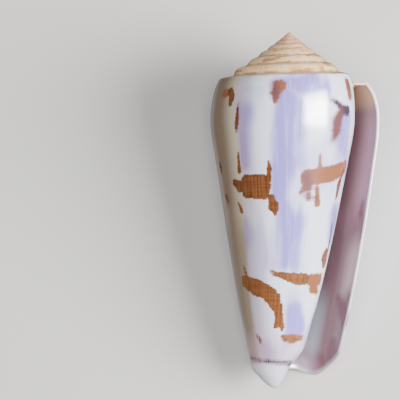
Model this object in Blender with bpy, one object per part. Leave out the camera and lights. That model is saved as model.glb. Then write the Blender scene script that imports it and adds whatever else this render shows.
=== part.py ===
"""A governor cone shell of 75 mm, lying on its back with its opening up, in metres.

The shell is one sheet of wall that winds about its axis. Every place on it has a growth angle, which
is 0 at the edge of the outer lip and grows backwards along the spiral to the apex, and a row, which
runs from the suture over the ramp and the shoulder down the side. The sheet is extruded station by
station, and where one turn lies on the turn before it, they share their points.
"""

import math

import bmesh
import bpy
import numpy as np
from mathutils import Matrix, Vector

MM = 0.001
TURN = 2 * math.pi

# Depths run from the apex down the axis, and radii from the axis outwards
LENGTH = 75.2 * MM
SHOULDER_RADIUS = 16.6 * MM  # at the edge of the lip
SHRINK = 0.12  # of the shoulder radius with each half turn back
SHRINK_MORE = 0.0042  # and how that grows
SUTURE_DEPTH = 10.56 * MM  # where the lip joins the body
SPIRE_POWER = 0.78
APEX_SHARPENING = 0.3
STEP_SHARE = 0.75  # how far each shoulder stands above its lower suture
SUTURE_SWELL = 0.165  # how far the upper whorls swell below their shoulders
SHOULDER_SOFTNESS = 2.75 * MM  # depth over which the side swells out below the shoulder
SPIRE_TURNS = 8
BODY_HALF_TURNS = 2  # the last turn, whose side shows
ROUNDING_TURNS = 1.5  # half turns over which the steps of the spire become round
SWELL_TURNS = 6  # half turns over which the upper whorls get their full swell
STEP_PULL = 0.6  # how far a round step is drawn out past its corner
STEP_FULLNESS = 0.7  # how far its curve keeps to the straight step
LIP_TOP_RISE = 0.45 * MM  # how far the lip's shoulder is drawn up
LIP_TOP_END = 0.25  # half turns over which that ends

# The side of the body half a turn back from the lip, as depth and radius
SIDE = [
    (8.0 * MM, 16.25 * MM),
    (14.0 * MM, 16.42 * MM),
    (19.4 * MM, 16.42 * MM),
    (25.0 * MM, 15.53 * MM),
    (35.5 * MM, 13.50 * MM),
    (46.1 * MM, 11.43 * MM),
    (56.6 * MM, 9.11 * MM),
    (63.0 * MM, 7.44 * MM),
    (67.2 * MM, 6.19 * MM),
    (71.4 * MM, 4.65 * MM),
]
HALF_TURN_RATIO = 0.85  # a radius against the one half a turn later
LIP_FLARE = 0.113  # extra radius of the lip for each unit of depth
FLARE_START = 19.6 * MM
FLARE_END = 0.8 * math.pi
LIP_SPREAD = 1.1 * MM  # and more of it along the lowest part of the lip
SPREAD_START = 52.0 * MM
AXIS_LEAN = 2.96 * MM  # how far the front end bends away from the lip

# The front end: the lip's lower edge, the canal that it leaves open, and the tip
CANAL_END = math.radians(110)
CANAL_BLEND = math.radians(70)
NECK_START = 67.0 * MM
NECK_DEPTH = 71.4 * MM
NECK_RADIUS = 3.2 * MM
NECK_SHIFT = 1.0 * MM
NECK_BACK = 0.3 * MM
LIP_CORNER_RISE = 3.8 * MM
LIP_CORNER_ANGLE = math.radians(18)
LIP_CORNER_POWER = 1.3
LIP_SAG = 1.5 * MM
LIP_SAG_END = math.radians(75)
CAVITY_FLOOR_RISE = 1.3 * MM
CAVITY_FLOOR_END = math.radians(60)
TIP_BLUNTNESS = 0.6

# The wall and the hollow
WALL = 1.05 * MM
FRONT_WALL = 0.93 * MM
EDGE_WALL = 0.6 * MM
EDGE_ANGLE = math.radians(30)  # how far back from its edge the lip gets its full wall
EDGE_BULGE = 0.35  # how far the edge is rounded, as a share of its wall
EDGE_DEPTH_SHARE = 1 / 9  # share of the side along which the lower edge is thinned
EDGE_TURN_ROWS = 4  # rows in which the edge turns from the side to the lower end
HOLLOW_END = math.radians(270)
ROW_STEP = 0.02  # of a row, over which the profile's direction is taken

# How it lies
TILT = math.radians(9.9)
FLAT_DEPTH = 0.3 * MM

STATIONS = 36  # in a turn
RAMP_ROWS = 3
STEP_ROWS = 2
SIDE_ROWS = 14
TIP_ROWS = 4
MERGE = 0.001 * MM

SHELL_COLOUR = (0.80, 0.76, 0.78, 1.0)
SHELL_ROUGHNESS = 0.22
SHARP_ANGLE = math.radians(40)


def smooth(value):
    """0 to 1 with level ends."""
    value = min(max(value, 0.0), 1.0)
    return value * value * (3 - 2 * value)


def mix(a, b, share):
    return a + (b - a) * share


def spline_slopes(points):
    """Second derivatives of the natural cubic curve through the points."""
    x = np.array([p[0] for p in points])
    y = np.array([p[1] for p in points])
    gap = np.diff(x)
    count = len(points)
    matrix = np.eye(count)
    right = np.zeros(count)
    for i in range(1, count - 1):
        matrix[i, i - 1 : i + 2] = gap[i - 1], 2 * (gap[i - 1] + gap[i]), gap[i]
        right[i] = 6 * ((y[i + 1] - y[i]) / gap[i] - (y[i] - y[i - 1]) / gap[i - 1])
    return np.linalg.solve(matrix, right)


SIDE_BENDS = spline_slopes(SIDE)


def side_curve(depth):
    """Radius of the side at this depth, half a turn back from the lip."""
    i = sum(depth > p[0] for p in SIDE[1:-1])
    (x0, y0), (x1, y1) = SIDE[i], SIDE[i + 1]
    gap = x1 - x0
    a = (x1 - depth) / gap
    b = (depth - x0) / gap
    bend = (a**3 - a) * SIDE_BENDS[i] + (b**3 - b) * SIDE_BENDS[i + 1]
    return a * y0 + b * y1 + bend * gap * gap / 6


def shoulder_radius(half_turns):
    return SHOULDER_RADIUS * math.exp(
        -SHRINK * half_turns - SHRINK_MORE * half_turns * half_turns
    )


def suture_depth(half_turns):
    """Depth at which the next turn joins this one."""
    share = shoulder_radius(half_turns) / shoulder_radius(BODY_HALF_TURNS)
    sharpened = 1 - APEX_SHARPENING * (1 - share) ** 4
    return SUTURE_DEPTH * share**SPIRE_POWER * sharpened


def shoulder_depth(half_turns):
    lower = suture_depth(half_turns)
    rise = LIP_TOP_RISE * (1 - smooth(half_turns / LIP_TOP_END))
    return lower - STEP_SHARE * (lower - suture_depth(half_turns + 2)) - rise


def growth(angle):
    """Size of the body at this angle against half a turn back from the lip."""
    return HALF_TURN_RATIO ** (angle / math.pi - 1)


def body_radius(angle, depth):
    """Radius of the body's side before the neck draws it in."""
    flare = 0.0
    if angle < FLARE_END:
        flare = 0.5 + 0.5 * math.cos(math.pi * angle / FLARE_END)
    lowest = max(0.0, depth - SPREAD_START) / (NECK_DEPTH - SPREAD_START)
    flare *= LIP_FLARE * max(0.0, depth - FLARE_START) + LIP_SPREAD * lowest * lowest
    wide = growth(angle) * side_curve(depth) + flare
    top = shoulder_depth(angle / math.pi)
    missing = growth(angle) * side_curve(top) - shoulder_radius(angle / math.pi)
    return wide - missing * math.exp(-(depth - top) / SHOULDER_SOFTNESS)


def neck_radius(angle, evened=0.0):
    """Radius of the neck, one wall thicker at the end of the canal than a turn further back."""
    around = NECK_RADIUS - NECK_SHIFT * math.cos(angle) + NECK_BACK * math.sin(angle)
    return around + FRONT_WALL * mix(1 - (angle - CANAL_END) / TURN, 0.5, evened)


def side_radius(angle, depth):
    inwards = smooth((depth - NECK_START) / (NECK_DEPTH - NECK_START))
    joined = smooth((angle - CANAL_END + CANAL_BLEND) / CANAL_BLEND)
    neck = neck_radius(angle) * side_curve(depth) / side_curve(NECK_DEPTH)
    return mix(body_radius(angle, depth), neck, inwards * joined)


def end_depth(angle):
    """Depth of the lowest row: the lip's lower edge, then the neck, then the floor of the hollow."""
    if angle <= CANAL_END:
        corner = LIP_CORNER_RISE * math.exp(-((angle / LIP_CORNER_ANGLE) ** LIP_CORNER_POWER))
        sag = LIP_SAG * math.sin(math.pi * smooth(angle / LIP_SAG_END)) ** 2
        return NECK_DEPTH - corner + sag
    behind = angle - CANAL_END - TURN
    return NECK_DEPTH - CAVITY_FLOOR_RISE * smooth(behind / CAVITY_FLOOR_END)


SWELL_BASE = body_radius(TURN, suture_depth(BODY_HALF_TURNS)) / shoulder_radius(BODY_HALF_TURNS)


def suture_point(angle):
    """Radius and depth where the next turn joins this one."""
    half_turns = angle / math.pi
    depth = suture_depth(half_turns)
    if half_turns <= BODY_HALF_TURNS:
        return side_radius(angle, depth), depth
    swell = SWELL_BASE + SUTURE_SWELL * smooth((half_turns - BODY_HALF_TURNS) / SWELL_TURNS)
    return shoulder_radius(half_turns) * swell, depth


def upper_suture(angle):
    """Radius and depth where this turn rests on the turn before it, or the apex."""
    if angle + TURN > SPIRE_TURNS * TURN + MERGE:
        return 0.0, 0.0
    return suture_point(angle + TURN)


def step_point(angle, row):
    """Radius and depth on the ramp (rows 0 to 1) and down to the lower suture (rows 1 to 2)."""
    half_turns = angle / math.pi
    high = Vector(upper_suture(angle))
    low = Vector(suture_point(angle))
    corner = Vector((shoulder_radius(half_turns), shoulder_depth(half_turns)))
    if row <= 1:
        sharp = high.lerp(corner, row)
    else:
        depth = mix(corner.y, low.y, row - 1)
        sharp = Vector((mix(corner.x, low.x, row - 1), depth))
        if half_turns <= BODY_HALF_TURNS:
            sharp.x = side_radius(angle, depth)
    rounding = smooth((half_turns - BODY_HALF_TURNS) / ROUNDING_TURNS)
    if rounding == 0:
        return sharp
    pull = corner + (corner - high.lerp(low, 0.5)) * STEP_PULL
    first = high.lerp(pull, STEP_FULLNESS)
    second = low.lerp(pull, STEP_FULLNESS)
    t = row / 2
    bezier = high * (1 - t) ** 3 + first * 3 * t * (1 - t) ** 2
    bezier += second * 3 * t * t * (1 - t) + low * t**3
    return sharp.lerp(bezier, rounding)


def outline_point(angle, row):
    """Radius and depth on the outside. Row 2 is the suture, row 3 one wall below it, row 4 the end."""
    if row <= 2:
        return step_point(angle, row)
    top = suture_depth(angle / math.pi)
    if row <= 3:
        depth = top + WALL * (row - 2)
    else:
        depth = mix(top + WALL, end_depth(angle), row - 3)
    return Vector((side_radius(angle, depth), depth))


def place(angle, outline):
    """A radius and depth as a point: +Y to the apex, +Z to the opening, +X to the lip."""
    radius, depth = outline
    centre = -AXIS_LEAN * (depth / LENGTH) ** 2
    return Vector((centre + radius * math.cos(angle), -depth, -radius * math.sin(angle)))


def outer(angle, row):
    return place(angle, outline_point(angle, row))


def wall_at(angle, row):
    """Thickness of the wall, thin at the edge of the lip and along its lower edge."""
    share = max(0.0, row - 3)
    wall = mix(WALL, FRONT_WALL, share)
    from_edge = smooth(angle / EDGE_ANGLE)
    if angle < CANAL_END:
        above_edge = smooth((1 - share) / EDGE_DEPTH_SHARE) if row > 3 else 1.0
        thick_again = smooth((angle - CANAL_END + CANAL_BLEND) / CANAL_BLEND)
        from_edge = min(from_edge, max(above_edge, thick_again))
    return mix(EDGE_WALL, wall, from_edge)


def inner(angle, row):
    """The inside of the wall, which ends on the turn before it at both ends of the profile."""
    if row == 0:
        return outer(angle + TURN, 3)
    if row == 4 and angle >= CANAL_END - MERGE:
        return outer(angle + TURN, 4)
    before = outline_point(angle, max(row - ROW_STEP, 0))
    after = outline_point(angle, min(row + ROW_STEP, 4))
    along = (after - before).normalized()
    inwards = Vector((-along.y, along.x))
    return place(angle, outline_point(angle, row) + inwards * wall_at(angle, row))


def loft(bm, stations):
    """Extrudes the first chain of points through the others."""
    row = [bm.verts.new(point) for point in stations[0]]
    edges = [bm.edges.new(pair) for pair in zip(row, row[1:])]
    for points in stations[1:]:
        made = bmesh.ops.extrude_edge_only(bm, edges=edges)["geom"]
        fresh = {v for v in made if isinstance(v, bmesh.types.BMVert)}
        row = [
            next(e.other_vert(v) for e in v.link_edges if e.other_vert(v) in fresh)
            for v in row
        ]
        edges = [
            e
            for e in made
            if isinstance(e, bmesh.types.BMEdge) and set(e.verts) <= fresh
        ]
        for vert, point in zip(row, points):
            vert.co = point


def rows_of(*bands):
    """Row numbers of one band after another, each band given as start, end and count."""
    rows = []
    for start, end, count in bands:
        rows += [start + (end - start) * i / count for i in range(count)]
    return rows + [bands[-1][1]]


def build_shell(bm):
    step = TURN / STATIONS
    canal = round(CANAL_END / step)
    hollow = round(HOLLOW_END / step)
    spire = SPIRE_TURNS * STATIONS
    strip_rows = rows_of((0, 1, RAMP_ROWS), (1, 2, STEP_ROWS))
    wall_rows = rows_of((3, 4, SIDE_ROWS))
    all_rows = strip_rows + wall_rows

    loft(bm, [[outer(j * step, q) for q in all_rows] for j in range(STATIONS + 1)])
    loft(
        bm,
        [
            [outer(j * step, q) for q in strip_rows]
            for j in range(STATIONS, spire + 1)
        ],
    )
    loft(
        bm,
        [
            [outer(j * step, q) for q in wall_rows]
            for j in range(STATIONS, STATIONS + hollow + 1)
        ],
    )
    loft(bm, [[inner(j * step, q) for q in all_rows] for j in range(hollow + 1)])
    build_edge(bm, all_rows, [j * step for j in range(1, canal + 1)])
    build_tip(bm, [(canal + j) * step for j in range(STATIONS + 1)])


def build_edge(bm, rows, angles):
    """The rounded edge of the lip, down its side and round its lower end."""
    outside = [outer(0, q) for q in rows] + [outer(a, 4) for a in angles]
    inside = [inner(0, q) for q in rows] + [inner(a, 4) for a in angles]
    down = len(rows) - 1
    middle = []
    for i, (a, b) in enumerate(zip(outside, inside)):
        turned = smooth((i - down) / EDGE_TURN_ROWS + 0.5)
        away = Vector((0, -turned, 1 - turned)).normalized()
        middle.append((a + b) / 2 + away * EDGE_BULGE * (a - b).length)
    middle[0] = inside[0]
    middle[-1] = inside[-1]
    loft(bm, [outside, middle, inside])


def build_tip(bm, angles):
    """The neck below the canal, drawn in to the tip."""
    angles = angles + [angles[0]]
    rings = []
    for i in range(TIP_ROWS + 1):
        share = i / TIP_ROWS
        depth = mix(NECK_DEPTH, LENGTH, share)
        narrowed = (1 - share) ** TIP_BLUNTNESS
        evened = smooth(2 * share)
        rings.append(
            [place(a, (neck_radius(a, evened) * narrowed, depth)) for a in angles]
        )
    loft(bm, rings)


def close_and_lay_down(bm):
    """Closes the sheet, turns it as it lies, and cuts the small flat spot that it rests on."""
    bmesh.ops.remove_doubles(bm, verts=bm.verts, dist=MERGE)
    bmesh.ops.holes_fill(bm, edges=[e for e in bm.edges if e.is_boundary], sides=0)
    bmesh.ops.triangulate(bm, faces=[f for f in bm.faces if len(f.verts) > 4])
    bmesh.ops.recalc_face_normals(bm, faces=bm.faces)
    bmesh.ops.transform(bm, matrix=Matrix.Rotation(TILT, 4, "X"), verts=bm.verts)
    low = min(v.co.z for v in bm.verts) + FLAT_DEPTH
    cut = bmesh.ops.bisect_plane(
        bm,
        geom=bm.verts[:] + bm.edges[:] + bm.faces[:],
        plane_co=(0, 0, low),
        plane_no=(0, 0, 1),
        clear_inner=True,
    )
    rim = [e for e in cut["geom_cut"] if isinstance(e, bmesh.types.BMEdge)]
    bmesh.ops.contextual_create(bm, geom=rim)
    xs = [v.co.x for v in bm.verts]
    ys = [v.co.y for v in bm.verts]
    centre = Vector(((min(xs) + max(xs)) / 2, (min(ys) + max(ys)) / 2, low))
    bmesh.ops.translate(bm, vec=-centre, verts=bm.verts)


def shell_material():
    material = bpy.data.materials.new("shell")
    material.use_nodes = True
    shader = material.node_tree.nodes["Principled BSDF"]
    shader.inputs["Base Color"].default_value = SHELL_COLOUR
    shader.inputs["Roughness"].default_value = SHELL_ROUGHNESS
    shader.inputs["Metallic"].default_value = 0.0
    return material


def main():
    for old in list(bpy.data.objects):
        bpy.data.objects.remove(old, do_unlink=True)
    collection = bpy.data.collections.new("governor_cone_shell")
    bpy.context.scene.collection.children.link(collection)
    mesh = bpy.data.meshes.new("shell")
    bm = bmesh.new()
    build_shell(bm)
    close_and_lay_down(bm)
    bm.to_mesh(mesh)
    bm.free()
    mesh.shade_smooth()
    mesh.set_sharp_from_angle(angle=SHARP_ANGLE)
    mesh.materials.append(shell_material())
    collection.objects.link(bpy.data.objects.new("shell", mesh))


main()
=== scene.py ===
"""A governor cone shell on a pale floor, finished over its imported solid.

The surface is the same wound sheet as the solid, with more stations and rows, fine ridges on the
spire and a rounded lip. Its markings are strokes laid along the growth angle and the depth below
the apex. Their edges, and every fine line and tint, come from the surface's nodes.
"""

import math
from types import SimpleNamespace

import bmesh
import bpy
import numpy as np
from mathutils import Matrix, Vector


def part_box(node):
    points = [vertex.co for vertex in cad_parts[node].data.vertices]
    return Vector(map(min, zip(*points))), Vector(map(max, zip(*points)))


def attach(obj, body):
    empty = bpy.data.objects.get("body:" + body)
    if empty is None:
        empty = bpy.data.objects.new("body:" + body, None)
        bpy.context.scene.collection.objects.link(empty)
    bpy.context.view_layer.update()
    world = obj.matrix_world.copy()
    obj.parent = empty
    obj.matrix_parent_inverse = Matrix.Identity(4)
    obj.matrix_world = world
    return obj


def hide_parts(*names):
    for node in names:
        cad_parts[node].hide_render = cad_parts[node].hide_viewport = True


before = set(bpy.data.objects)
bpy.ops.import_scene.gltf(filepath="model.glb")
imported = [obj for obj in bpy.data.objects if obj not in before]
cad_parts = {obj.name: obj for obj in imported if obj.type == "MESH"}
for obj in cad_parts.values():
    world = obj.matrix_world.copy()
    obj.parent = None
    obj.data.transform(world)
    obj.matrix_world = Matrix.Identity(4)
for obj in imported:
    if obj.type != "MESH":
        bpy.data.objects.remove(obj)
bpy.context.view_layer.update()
SHELL_LOW, SHELL_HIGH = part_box("shell")

bl_info = {
    "name": "Governor cone shell",
    "version": (1, 0, 0),
    "blender": (4, 5, 0),
    "location": "3D View > Sidebar > Cone shell",
    "description": "Builds a governor cone shell with its markings, and a plain stage for it",
    "category": "Object",
}

MM = 0.001
TURN = 2 * math.pi

# Depths run from the apex down the axis, and radii from the axis outwards
LENGTH = 75.2 * MM
SHOULDER_RADIUS = 16.6 * MM
SHRINK = 0.12
SHRINK_MORE = 0.0042
SUTURE_DEPTH = 10.56 * MM
SPIRE_POWER = 0.78
APEX_SHARPENING = 0.3
APEX_POWER = 4
STEP_SHARE = 0.75
SUTURE_SWELL = 0.165
SHOULDER_SOFTNESS = 2.75 * MM
SPIRE_TURNS = 8
BODY_HALF_TURNS = 2
ROUNDING_TURNS = 1.5
SWELL_TURNS = 6
STEP_PULL = 0.6
STEP_FULLNESS = 0.7
LIP_TOP_RISE = 0.45 * MM
LIP_TOP_END = 0.25
SIDE = [
    (8.0 * MM, 16.25 * MM),
    (14.0 * MM, 16.42 * MM),
    (19.4 * MM, 16.42 * MM),
    (25.0 * MM, 15.53 * MM),
    (35.5 * MM, 13.50 * MM),
    (46.1 * MM, 11.43 * MM),
    (56.6 * MM, 9.11 * MM),
    (63.0 * MM, 7.44 * MM),
    (67.2 * MM, 6.19 * MM),
    (71.4 * MM, 4.65 * MM),
]
HALF_TURN_RATIO = 0.85
LIP_FLARE = 0.113
FLARE_START = 19.6 * MM
FLARE_END = 0.8 * math.pi
LIP_SPREAD = 1.1 * MM
SPREAD_START = 52.0 * MM
AXIS_LEAN = 2.96 * MM
CANAL_END = math.radians(110)
CANAL_BLEND = math.radians(70)
NECK_START = 67.0 * MM
NECK_DEPTH = 71.4 * MM
NECK_RADIUS = 3.2 * MM
NECK_SHIFT = 1.0 * MM
NECK_BACK = 0.3 * MM
LIP_CORNER_RISE = 3.8 * MM
LIP_CORNER_ANGLE = math.radians(18)
LIP_CORNER_POWER = 1.3
LIP_SAG = 1.5 * MM
LIP_SAG_END = math.radians(75)
CAVITY_FLOOR_RISE = 1.3 * MM
CAVITY_FLOOR_END = math.radians(60)
TIP_BLUNTNESS = 0.6
WALL = 1.05 * MM
FRONT_WALL = 0.93 * MM
EDGE_WALL = 0.6 * MM
EDGE_ANGLE = math.radians(30)
EDGE_BULGE = 0.35
EDGE_DEPTH_SHARE = 1 / 9
EDGE_TURN_SHARE = 0.2
HOLLOW_END = math.radians(270)
ROW_STEP = 0.02
TILT = math.radians(9.9)
FLAT_DEPTH = 0.3 * MM
MERGE = 0.001 * MM

# How finely the surface is cut, and its low relief
RAMP_ROWS = 12
STEP_ROWS = 8
TIP_RINGS = 12
EDGE_SHARES = (0, 0.12, 0.3, 0.5, 0.7, 0.88, 1)
RAMP_RIDGES = 3
RIDGE_KEEPS = 1.6
UNEVEN_WAVES = ((0.5, 9.3, 1), (0.3, 17.7, 0), (0.2, 31.1, 0))
GROWTH_WAVE_PACE = 0.7
GROWTH_WAVE_FADE = 1 / 8

# The pattern's own map in centimetres: to a radian of growth, to a row of the spire and down the
# side. The tip adds a small share of a row
AROUND = 1.4
STRIP_WIDTH = 0.35
SIDE_WIDTH = 6.0
TIP_PATTERN_ROWS = 1 / 15

# Where the masks begin and end: shares of the lip's thickness, angles from the lip, and rows
MOUTH_START = 0.1
MOUTH_END = 0.5
RIM_ANGLE = math.radians(3)
RIM_ROWS = 0.02
SPIRE_EDGE_START = 0.55
SPIRE_EDGE_ROWS = 0.6

# How often each noise repeats in a centimetre of the pattern, along the spiral and down the side
SPIRAL_LINES = (0.9, 16)
SPIRAL_THREADS = (1.5, 34)
GROWTH_LINES = (15, 0.7)
GROWTH_STREAKS = (3.2, 0.35)
CLOUDS = (1.2, 0.55)
FLAMES = (1.17, 2.6)
GRAIN = 9.0

# How far a mark's edge wanders with each noise, in millimetres
WANDER_WITH_SPIRAL = 0.6
WANDER_WITH_GRAIN = 0.6
WANDER_WITH_GROWTH = 0.9
CLOUD_WANDER_WITH_STREAKS = 3.0
CLOUD_WANDER_WITH_CLOUDS = 6.0

# Between which depths inside its strokes each kind of mark fades in, in millimetres
EDGES = {
    "chestnut": (-0.14, 0.12),
    "orange": (-0.3, 0.3),
    "plum": (-0.7, 0.35),
    "lavender": (-1.6, 1.2),
    "tan": (-0.8, 0.8),
    "blush": (-1.2, 0.6),
}

# Between which values of its noise each tint shows
CLOUDS_SHOW = (0.46, 0.7)
WHITE_LINES_SHOW = (0.5, 0.75)
WOVEN_THREADS_SHOW = (0.3, 0.7)
WOVEN_LINES_SHOW = (0.35, 0.7)
WHITE_FLAMES_SHOW = (0.54, 0.7)
OCHRE_FLAMES_SHOW = (0.48, 0.38)
OCHRE_LINES_SHOW = (0.42, 0.66)
OCHRE_GRAIN_SHOWS = (0.3, 0.6)
SEAM_STAIN_AND_SHADE_SHOWS = (0.35, 0.6)
MOUTH_STREAKS_SHOW = (0.4, 0.7)
DULL_GRAIN_SHOWS = (0.3, 0.7)

# How much the threads and the growth lines count in the woven marks and in the fine relief
THREADS_IN_WEAVE = 0.35
LINES_IN_WEAVE = 0.65
THREADS_IN_RELIEF = 0.4
LINES_IN_RELIEF = 0.6
RELIEF_STRENGTH = 0.25
RELIEF_HEIGHT = 0.08 * MM

# Where the outside changes colour, in millimetres below the apex
APEX_TINT = (5.0, 1.0)
# The tan side grows darker between these depths, partly as painted shade
SIDE_SHADE_DARKENS = (32, 46)
BROWN_PALES = (44, 52)
# The pink above the neck is partly the shell's colour and partly painted shade
NECK_TINT = (62, 66)
NECK_PALES = (69.5, 70.5)

# Where the tan side and its tint begin, in centimetres of pattern and in millimetres
# The tan and the mauve beside it are partly the shell's colour and partly painted shade on the
# flank away from the lip
TAN_FROM = (3.9, 4.9)
TAN_DEEPENS = (0, 5)
TAN_TINT = (-6, -1)

# The seams of the spire, stained ochre and darkened as painted shade in the crease, in centimetres
# of pattern down a step
UPPER_SEAM = (0.09, 0.01)
LOWER_SEAM = (0.56, 0.67)

# Where the mouth changes colour, in centimetres of pattern in from the lip and down from the suture
# Painted shade: the inside darkens near the body, deep in the opening
MOUTH_SHADE_ACROSS = (0.35, 1.0)
MOUTH_SHADE_DOWN = (4.4, 3.2)
MOUTH_LOW_DOWN = (3.1, 4.2)
MOUTH_TOP_DOWN = (1.9, 1.15)
# High in the mouth the cream is partly the tan colour there and partly painted light where the top
# of the opening lies in shade
MOUTH_CORNER_DOWN = (1.42, 1.05)
MOUTH_PALE_ACROSS = (0.8, 1.15)
MOUTH_PALE_DOWN = (5.0, 5.8)
# The pale band inside the lip is partly its colour and partly painted light, the glow of light
# through the thin lip
MOUTH_EDGE_ACROSS = (0.75, 0.3)
MOUTH_EDGE_DOWN = (3.9, 4.7)
MOUTH_EDGE_ENDS = (5.8, 5.2)
MOUTH_LAST_DOWN = (6.4, 6.8)

# The stage: the axis where the apex lies, the middle of the view, and the floor's pale specks
AXIS_START_X = -1.246 * MM
AXIS_START_Z = 20.97 * MM
VIEW_ACROSS = -18.8 * MM
VIEW_DEPTH = 35.49 * MM
FLOOR_SPECK = 1.04

# Each stroke is a path of growth angle in degrees, depth and half width in millimetres
CHESTNUT = [
    [(216, 12.7, 0.7), (219, 13.9, 0.9), (218, 15.4, 0.6)],
    [(226, 15.4, 0.21), (226, 18.2, 0.5), (225, 20.7, 0.4), (225, 21.5, 0.21)],
    [(195, 27.6, 0.30), (196, 28.7, 0.6), (195, 29.8, 0.34)],
    [(225, 25.6, 0.21), (224, 27.7, 0.30), (224, 29.6, 0.5)],
    [(217, 31.9, 0.8), (223, 32.7, 1.3)],
    [(231, 31.5, 1.4), (247, 31.5, 1.4)],
    [(230, 33.8, 1.3), (247, 34.0, 1.4)],
    [(231, 32.6, 1.5), (248, 32.7, 1.5)],
    [(253, 27.5, 0.34), (253, 29.2, 0.5), (252, 31.3, 0.6)],
    [(255, 35.1, 0.8), (257, 37.0, 1.1), (258, 38.4, 0.4)],
    [(199, 34.6, 0.5), (201, 35.7, 0.5)],
    [(218, 36.1, 0.32), (222, 37.6, 0.4), (224, 38.8, 0.17)],
    [(216, 49.4, 0.21), (220, 50.9, 0.34)],
    [(216, 52.6, 1.3), (233, 53.7, 1.9), (246, 54.5, 1.7)],
    [(249, 54.7, 1.6), (257, 56.0, 1.7), (261, 57.5, 1.2)],
    [(263, 57.7, 1.2), (267, 60.0, 0.8), (273, 62.3, 0.5)],
    [(264, 60.4, 0.5), (261, 62.1, 0.4)],
    [(254, 50.2, 0.34), (260, 50.8, 0.6), (271, 51.3, 0.8), (287, 52.0, 1.2), (299, 52.0, 1.3)],
    [(254, 51.5, 0.25), (262, 51.1, 0.4)],
    [(331, 46.0, 0.6), (331, 47.5, 1.3), (334, 48.8, 1.0)],
    [(335, 43.9, 0.30), (337, 46.5, 0.4)],
    [(230, 64.0, 0.13), (232, 64.8, 0.17)],
    [(274, 64.0, 0.25), (287, 65.3, 0.25)],
    [(299, 64.6, 0.4), (330, 64.3, 0.21)],
    [(336, 29.2, 0.5), (331, 32.5, 0.9), (331, 35.1, 0.5)],
    [(31, 27.9, 0.25), (32, 30.8, 0.8), (33, 33.4, 1.1), (38, 36.1, 1.3), (42, 38.9, 0.8)],
    [(64, 34.0, 0.5), (69, 34.9, 1.0), (75, 36.1, 1.0), (75, 38.0, 0.5)],
    [(83, 30.4, 1.3), (92, 31.1, 1.9), (108, 31.3, 2.3), (129, 31.1, 2.1)],
    [(115, 24.3, 0.32), (115, 27.5, 0.8), (113, 29.6, 1.5)],
    [(106, 27.2, 0.4), (109, 29.2, 1.1)],
    [(98, 33.4, 1.5), (99, 35.9, 1.3), (96, 38.0, 0.6)],
    [(134, 33.0, 1.3), (135, 35.7, 0.6)],
    [(121, 36.1, 0.8), (117, 37.6, 0.32), (116, 39.1, 0.21)],
    [(120, 41.4, 0.17), (120, 44.8, 0.4), (119, 47.3, 0.32)],
    [(27, 53.0, 0.4), (36, 54.1, 1.5), (41, 56.6, 1.9), (43, 59.1, 1.7), (43, 61.3, 0.6)],
    [(37, 62.1, 0.32), (38, 64.6, 0.4), (39, 67.6, 0.5)],
    [(80, 49.9, 0.6), (78, 51.8, 1.3), (75, 53.9, 2.3), (77, 55.8, 2.1)],
    [(83, 55.3, 1.9), (90, 58.3, 1.5), (93, 60.8, 1.1)],
    [(94, 61.3, 0.6), (95, 63.4, 0.8), (92, 65.9, 0.6)],
    [(129, 48.4, 0.8), (125, 50.3, 1.7), (121, 52.4, 1.9), (119, 53.9, 1.7)],
    [(127, 54.9, 1.1), (126, 57.5, 0.8), (134, 60.0, 1.1), (137, 63.4, 0.6)],
    [(83, 11.8, 0.4), (83, 13.9, 0.8), (82, 15.8, 0.4)],
    [(122, 13.1, 0.32), (119, 16.1, 0.5), (120, 19.4, 0.32)],
    [(110, 16.1, 0.21), (110, 17.3, 0.21)],
    [(67, 18.6, 0.21), (68, 19.9, 0.17)],
    [(66, 26.6, 0.32), (65, 29.2, 0.4)],
]
ORANGE = [
    [(288, 30.8, 1.7), (303, 30.4, 1.8), (318, 29.8, 1.8), (337, 28.7, 1.7)],
    [(298, 26.2, 0.25), (300, 28.7, 0.5)],
    [(286, 33.0, 0.4), (282, 34.0, 0.6)],
    [(290, 32.5, 0.5), (291, 35.3, 0.6)],
    [(299, 33.0, 0.6), (302, 36.3, 0.8)],
    [(259, 11.8, 1.2), (262, 11.8, 1.3)],
    [(258, 13.1, 1.0), (258, 15.2, 0.5)],
    [(209, 13.3, 1.0), (216, 12.9, 0.8)],
    [(332, 11.0, 1.1), (334, 13.3, 1.3)],
    [(309, 52.2, 1.3), (328, 52.2, 1.4)],
    [(318, 53.9, 1.3), (331, 54.9, 0.6)],
    [(280, 64.4, 0.7), (297, 64.6, 1.0), (326, 64.4, 0.25)],
    [(228, 64.0, 0.34), (233, 65.1, 0.4)],
    [(26, 11.0, 1.1), (33, 15.2, 0.8), (29, 18.0, 0.4)],
    [(88, 11.4, 0.8), (86, 15.2, 0.8)],
    [(126, 11.0, 1.3), (124, 14.2, 1.3), (120, 17.7, 1.1)],
    [(67, 16.3, 0.32), (67, 19.9, 0.4)],
    [(80, 30.6, 1.1), (81, 32.1, 0.8)],
]
PLUM = [
    [(307, 14.7, 0.30), (313, 15.3, 0.5), (319, 16.4, 0.7)],
    [(320, 16.6, 0.8), (328, 16.8, 1.0)],
    [(320, 17.1, 0.5), (317, 18.6, 0.21)],
    [(333, 40.6, 0.17), (338, 44.8, 0.25)],
    [(289, 31.7, 0.8), (287, 33.0, 0.8)],
    [(192, 68.8, 0.11), (231, 69.2, 0.13), (267, 69.6, 0.27), (347, 70.1, 0.34)],
]
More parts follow.
